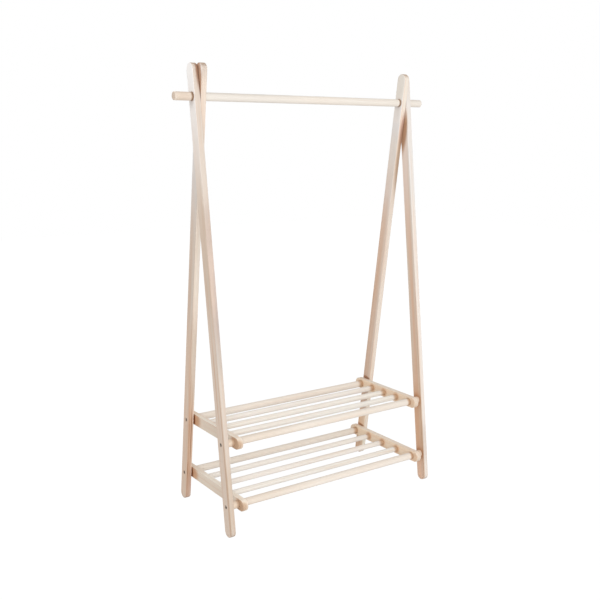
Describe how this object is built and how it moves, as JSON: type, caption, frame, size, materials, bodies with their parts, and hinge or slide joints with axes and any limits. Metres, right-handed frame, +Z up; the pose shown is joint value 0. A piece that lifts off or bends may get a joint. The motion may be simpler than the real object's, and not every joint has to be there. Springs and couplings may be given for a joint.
{
  "type": "clothes rack",
  "caption": "Free-standing wooden clothes rack: two crossed-leg end frames carry a round hanging rail, with two slatted shelves bolted between them.",
  "frame": {"origin": "on the floor, in the middle of the rack's width and depth", "axes": "+Z up, +X along the hanging rail to the right as seen from the front, -Y towards the front, where the outer pair of legs has its feet"},
  "size_m": [1.003, 0.411, 1.5042],
  "materials": {
    "leg_wood": "planed softwood, unlacquered, matt",
    "side_wood": "planed softwood, unlacquered, matt",
    "dowel_wood": "turned softwood, unlacquered, matt",
    "rail_wood": "turned softwood, unlacquered, matt",
    "spacer_wood": "cut dowel, unlacquered, end grain showing",
    "bolt_steel": "darkened steel",
    "insert_brass": "plain"
  },
  "bodies": {
    "frame": {"front_left_leg": "leg_wood", "front_right_leg": "leg_wood", "back_left_leg": "leg_wood", "back_right_leg": "leg_wood", "upper_shelf_left_side": "side_wood", "upper_shelf_right_side": "side_wood", "lower_shelf_left_side": "side_wood", "lower_shelf_right_side": "side_wood", "upper_shelf_front_dowel": "dowel_wood", "upper_shelf_back_dowel": "dowel_wood", "lower_shelf_front_dowel": "dowel_wood", "lower_shelf_back_dowel": "dowel_wood", "upper_shelf_front_thin_dowel": "dowel_wood", "upper_shelf_middle_thin_dowel": "dowel_wood", "upper_shelf_back_thin_dowel": "dowel_wood", "lower_shelf_front_thin_dowel": "dowel_wood", "lower_shelf_middle_thin_dowel": "dowel_wood", "lower_shelf_back_thin_dowel": "dowel_wood", "upper_front_left_spacer": "spacer_wood", "upper_front_right_spacer": "spacer_wood", "lower_front_left_spacer": "spacer_wood", "lower_front_right_spacer": "spacer_wood", "upper_back_left_spacer": "spacer_wood", "upper_back_right_spacer": "spacer_wood", "lower_back_left_spacer": "spacer_wood", "lower_back_right_spacer": "spacer_wood", "upper_front_left_bolt": "bolt_steel", "upper_front_right_bolt": "bolt_steel", "lower_front_left_bolt": "bolt_steel", "lower_front_right_bolt": "bolt_steel", "upper_back_left_bolt": "bolt_steel", "upper_back_right_bolt": "bolt_steel", "lower_back_left_bolt": "bolt_steel", "lower_back_right_bolt": "bolt_steel", "upper_front_left_insert": "insert_brass", "upper_front_right_insert": "insert_brass", "lower_front_left_insert": "insert_brass", "lower_front_right_insert": "insert_brass", "upper_back_left_insert": "insert_brass", "upper_back_right_insert": "insert_brass", "lower_back_left_insert": "insert_brass", "lower_back_right_insert": "insert_brass"},
    "rail": {"hanging_rail": "rail_wood"}
  },
  "joints": [
    {"name": "rail_turn", "type": "hinge", "parent": "frame", "child": "rail", "pos_m": [0, 0, 1.405], "axis": [1, 0, 0], "continuous": true}
  ]
}
